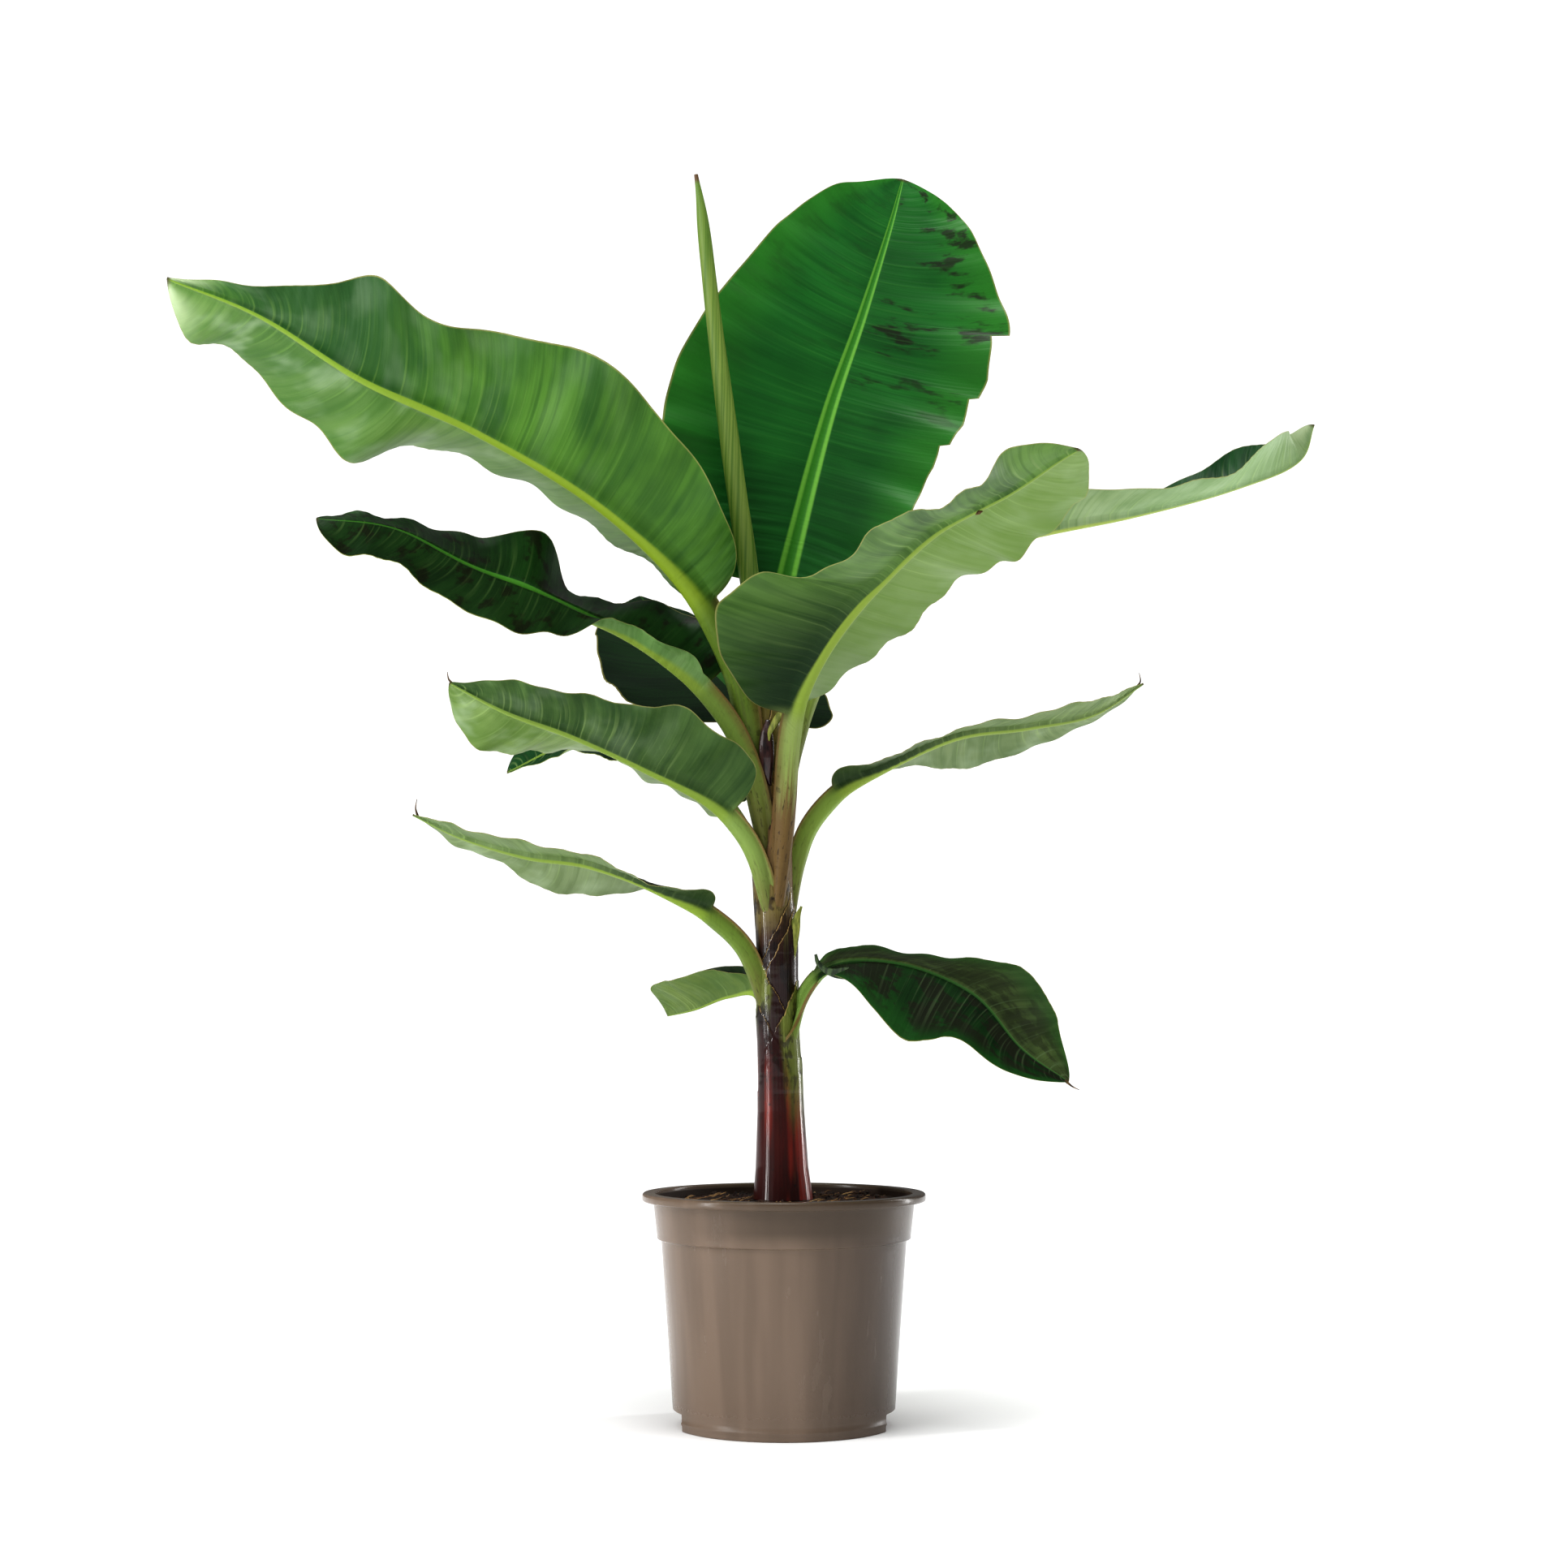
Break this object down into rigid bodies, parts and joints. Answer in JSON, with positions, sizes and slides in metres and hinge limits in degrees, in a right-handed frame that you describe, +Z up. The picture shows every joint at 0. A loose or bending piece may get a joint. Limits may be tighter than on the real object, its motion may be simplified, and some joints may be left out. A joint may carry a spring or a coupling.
{
  "type": "potted banana plant",
  "caption": "Young banana plant with a maroon stem, broad spreading leaves and one rolled leaf, in a round taupe nursery pot.",
  "frame": {"origin": "centre of the pot's flat underside", "axes": "+Z up, +X to the right of the pictured view, +Y away from it"},
  "size_m": [1.0185, 0.5775, 1.1053],
  "materials": {
    "pot_plastic": "smooth taupe moulded plastic with a soft sheen",
    "earth": "dark, matt, crumbly potting earth",
    "stem_skin": "glossy maroon leaf sheaths, blotched and paler towards the crown",
    "leaf": "waxy green leaf, darker above and paler below, with a yellow-green midrib",
    "young_leaf": "smooth yellow-green rolled leaf"
  },
  "bodies": {
    "root": {"pot": "pot_plastic", "root_ball": "earth", "pseudostem": "stem_skin", "rolled_leaf": "young_leaf", "leaf_upright": "leaf", "leaf_upper_left": "leaf", "leaf_front_right": "leaf", "leaf_left": "leaf", "leaf_back": "leaf", "leaf_back_right": "leaf", "leaf_middle_right": "leaf", "leaf_middle_left": "leaf", "leaf_hidden_left": "leaf", "leaf_lower_left": "leaf", "leaf_lower_right": "leaf", "leaf_small_back_left": "leaf"}
  },
  "joints": []
}
